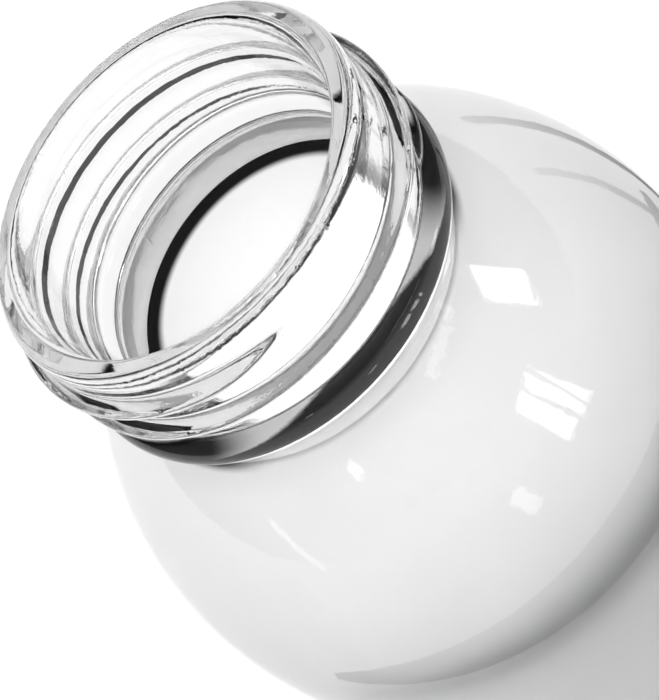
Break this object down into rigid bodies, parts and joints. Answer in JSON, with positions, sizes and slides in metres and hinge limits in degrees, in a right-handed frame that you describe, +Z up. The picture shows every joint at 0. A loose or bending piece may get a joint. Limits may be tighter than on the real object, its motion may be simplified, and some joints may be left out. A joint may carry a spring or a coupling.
{
  "type": "glass milk bottle",
  "caption": "Round clear glass milk bottle with a wide threaded mouth, ring bead and domed shoulder, filled with milk, its ribbed screw cap laid upside down beside it.",
  "frame": {"origin": "on the surface the bottle stands on, under the middle of the overall box of bottle and cap; the bottle's axis is at x = -34.05 mm and the cap's at x = +49.10 mm", "axes": "+Z up along the bottle's axis, +X from the bottle towards the loose cap"},
  "size_m": [0.1502, 0.0822, 0.205],
  "materials": {
    "glass": "clear flint glass, fire-polished",
    "milk": "opaque white liquid with a wet surface",
    "cap_plastic": "moulded white polypropylene, satin",
    "liner_foam": "closed-cell polyethylene foam"
  },
  "bodies": {
    "bottle": {"bottle_glass": "glass", "milk": "milk"},
    "cap": {"cap_shell": "cap_plastic", "cap_liner": "liner_foam"}
  },
  "joints": [
    {"name": "cap_lift", "type": "slide", "parent": "bottle", "child": "cap", "axis": [0, 0, 1], "range_m": [0, 0.22]}
  ]
}
